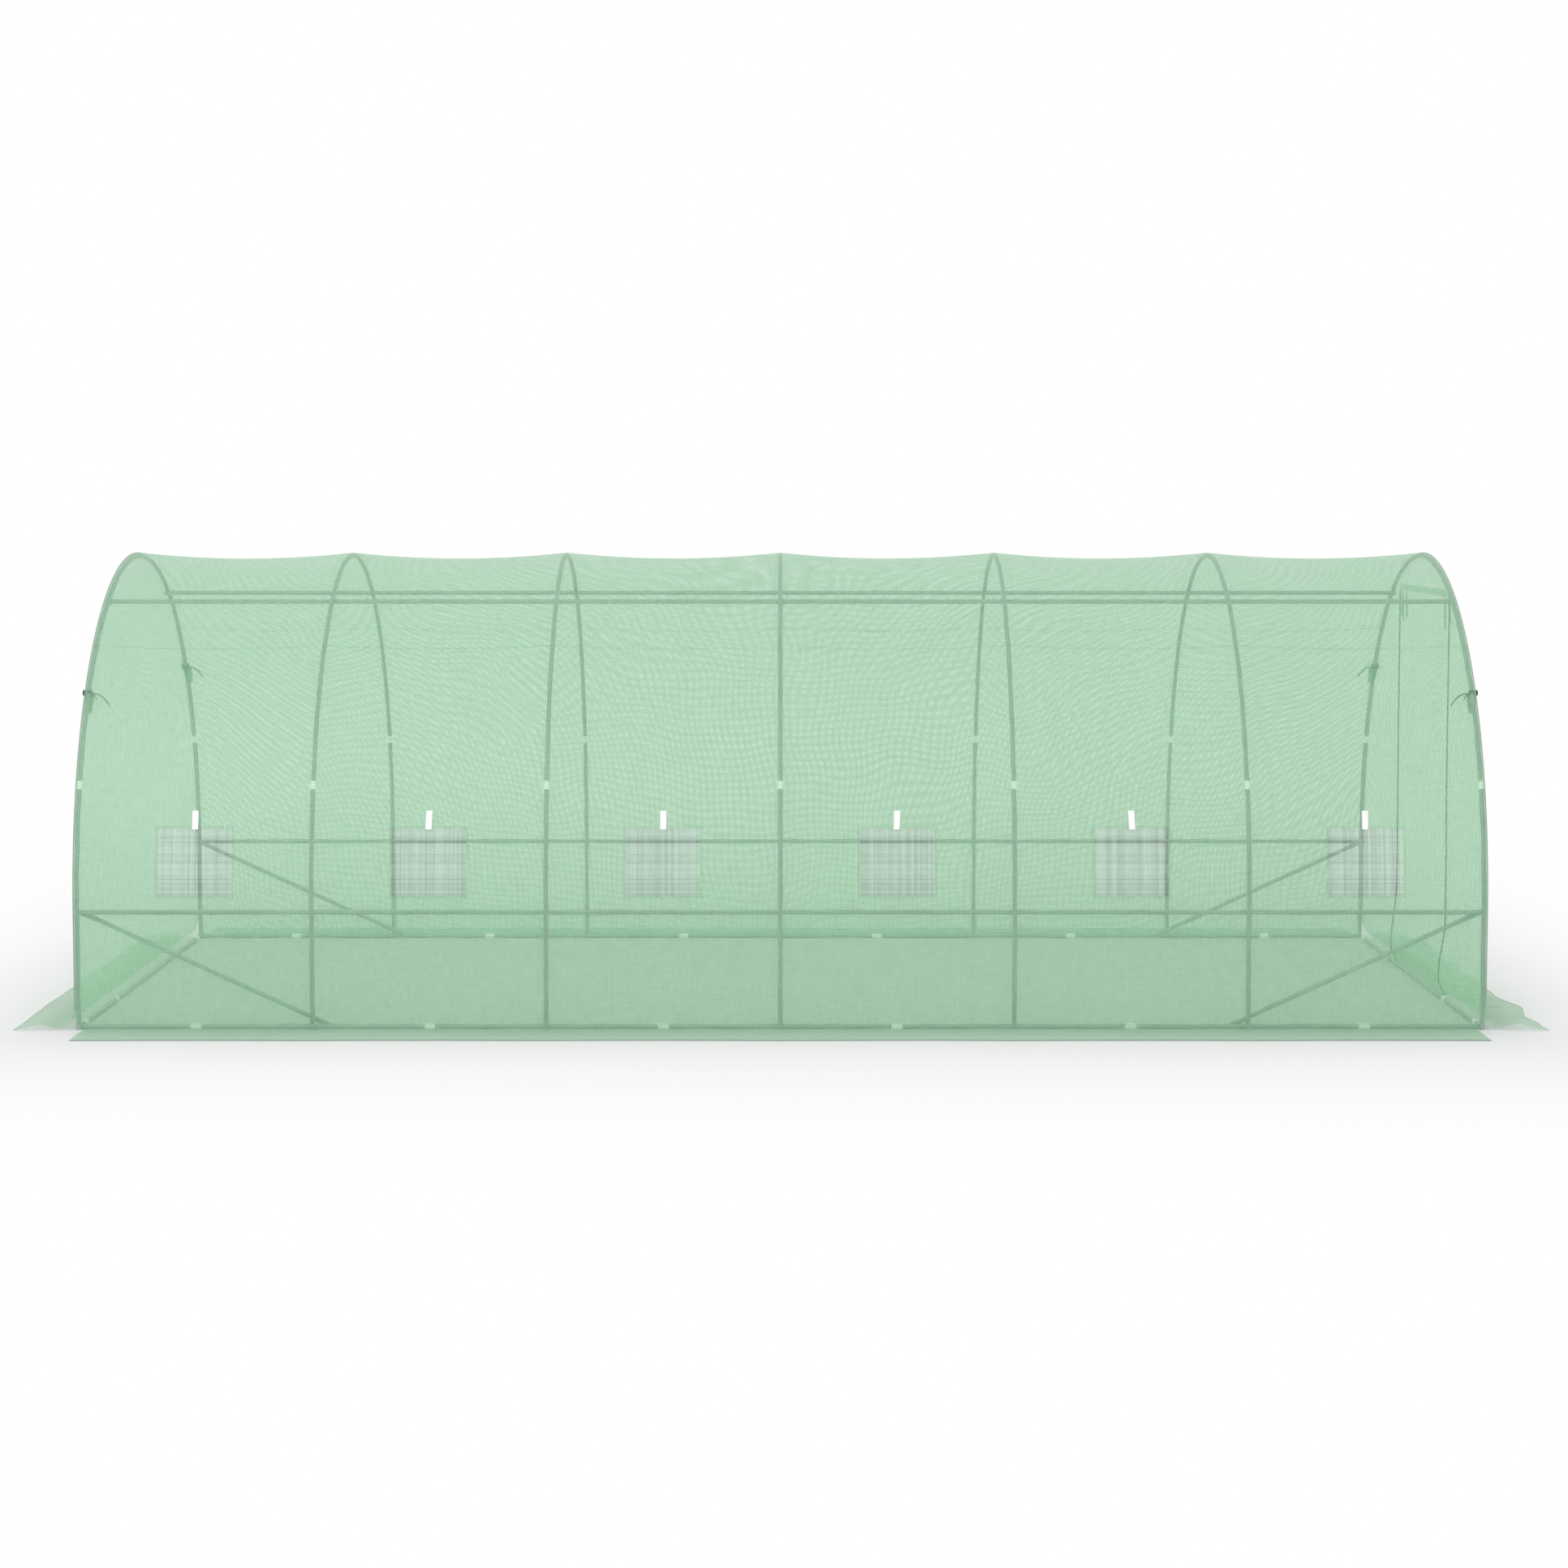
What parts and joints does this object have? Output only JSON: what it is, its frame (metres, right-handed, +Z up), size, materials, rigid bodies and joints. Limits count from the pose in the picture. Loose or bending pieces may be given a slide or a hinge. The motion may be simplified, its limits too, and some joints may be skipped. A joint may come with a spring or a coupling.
{
  "type": "polytunnel greenhouse",
  "caption": "Walk-in polytunnel greenhouse: bent tube hoops, rails and braces under a woven film cover with net windows, a zipped end door and ground skirts.",
  "frame": {"origin": "on the ground, under the middle of the tunnel", "axes": "+X along the tunnel towards the end with the door, -Y towards the front with the windows, +Z up"},
  "size_m": [6.5112, 3.6, 2.0056],
  "materials": {
    "galvanised_tube": "galvanised, satin",
    "white_plastic": "moulded, semi-gloss",
    "green_film": "woven see-through film",
    "film_hem": "double film, stitched",
    "zip": "coil zip on woven tape",
    "window_net": "fine knitted net",
    "hook_tape": "napped tape",
    "lace": "braided cord"
  },
  "bodies": {
    "root": {"hoop_arch_1": "galvanised_tube", "hoop_arch_2": "galvanised_tube", "hoop_arch_3": "galvanised_tube", "hoop_arch_4": "galvanised_tube", "hoop_arch_5": "galvanised_tube", "hoop_arch_6": "galvanised_tube", "hoop_arch_7": "galvanised_tube", "front_legs": "galvanised_tube", "back_legs": "galvanised_tube", "front_ground_rail": "galvanised_tube", "back_ground_rail": "galvanised_tube", "left_ground_rail": "galvanised_tube", "right_ground_rail": "galvanised_tube", "front_side_rail": "galvanised_tube", "back_side_rail": "galvanised_tube", "front_purlin": "galvanised_tube", "back_purlin": "galvanised_tube", "front_left_brace": "galvanised_tube", "front_right_brace": "galvanised_tube", "back_left_brace": "galvanised_tube", "back_right_brace": "galvanised_tube", "front_collars": "white_plastic", "back_collars": "white_plastic", "front_couplings": "white_plastic", "back_couplings": "white_plastic", "end_couplings": "white_plastic", "front_sheet": "green_film", "roof_sheet": "green_film", "back_sheet": "green_film", "left_end_wall": "green_film", "right_end_wall": "green_film", "door_panel": "green_film", "front_skirt": "green_film", "back_skirt": "green_film", "left_skirt": "green_film", "right_skirt": "green_film", "door_hem": "film_hem", "door_zips": "zip", "window_nets": "window_net", "window_tabs": "hook_tape", "hoop_ties": "lace", "front_left_lace": "lace", "front_right_lace": "lace", "back_left_lace": "lace", "back_right_lace": "lace"}
  },
  "joints": []
}
